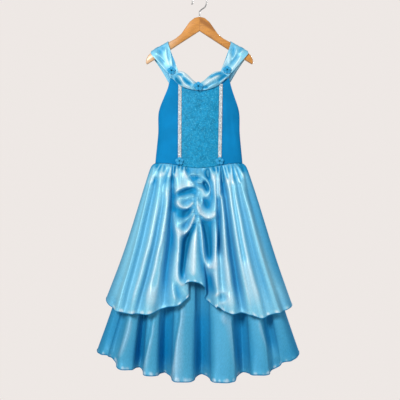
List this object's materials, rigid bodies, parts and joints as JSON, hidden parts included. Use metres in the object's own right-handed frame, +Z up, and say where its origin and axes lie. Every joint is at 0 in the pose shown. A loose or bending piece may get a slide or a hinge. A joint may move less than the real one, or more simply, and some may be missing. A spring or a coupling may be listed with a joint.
{
  "type": "princess costume dress on a wooden clothes hanger",
  "caption": "Long sleeveless costume dress with a ruched satin overskirt over a satin underskirt, hanging on a wooden hanger with a wire hook.",
  "frame": {"origin": "inside the top of the hanger's hook, where a rail bears", "axes": "+Z up, along the hanging dress; -Y out of the dress's front; +X to the right as seen from the front"},
  "size_m": [0.604, 0.1682, 1.1398],
  "materials": {
    "satin": "light blue satin",
    "underskirt_satin": "mid blue satin",
    "jersey": "matt stretch jersey",
    "glitter_jersey": "stretch jersey with fine glitter",
    "silver_braid": "silver sequin braid",
    "ribbon": "satin ribbon",
    "hanger_wood": "clear satin varnish",
    "hook_wire": "bright wire"
  },
  "bodies": {
    "root": {"bodice_front_centre": "glitter_jersey", "bodice_front_left": "jersey", "bodice_front_right": "jersey", "bodice_back": "jersey", "overskirt_front": "satin", "overskirt_back": "satin", "underskirt_front": "underskirt_satin", "underskirt_back": "underskirt_satin", "strap_left": "satin", "strap_right": "satin", "swag_left": "satin", "swag_right": "satin", "trim_left": "silver_braid", "trim_right": "silver_braid", "rosette_left_shoulder": "ribbon", "rosette_right_shoulder": "ribbon", "rosette_centre_neck": "ribbon", "rosette_left_waist": "ribbon", "rosette_right_waist": "ribbon", "hanger_bar": "hanger_wood", "hanger_hook": "hook_wire"}
  },
  "joints": []
}
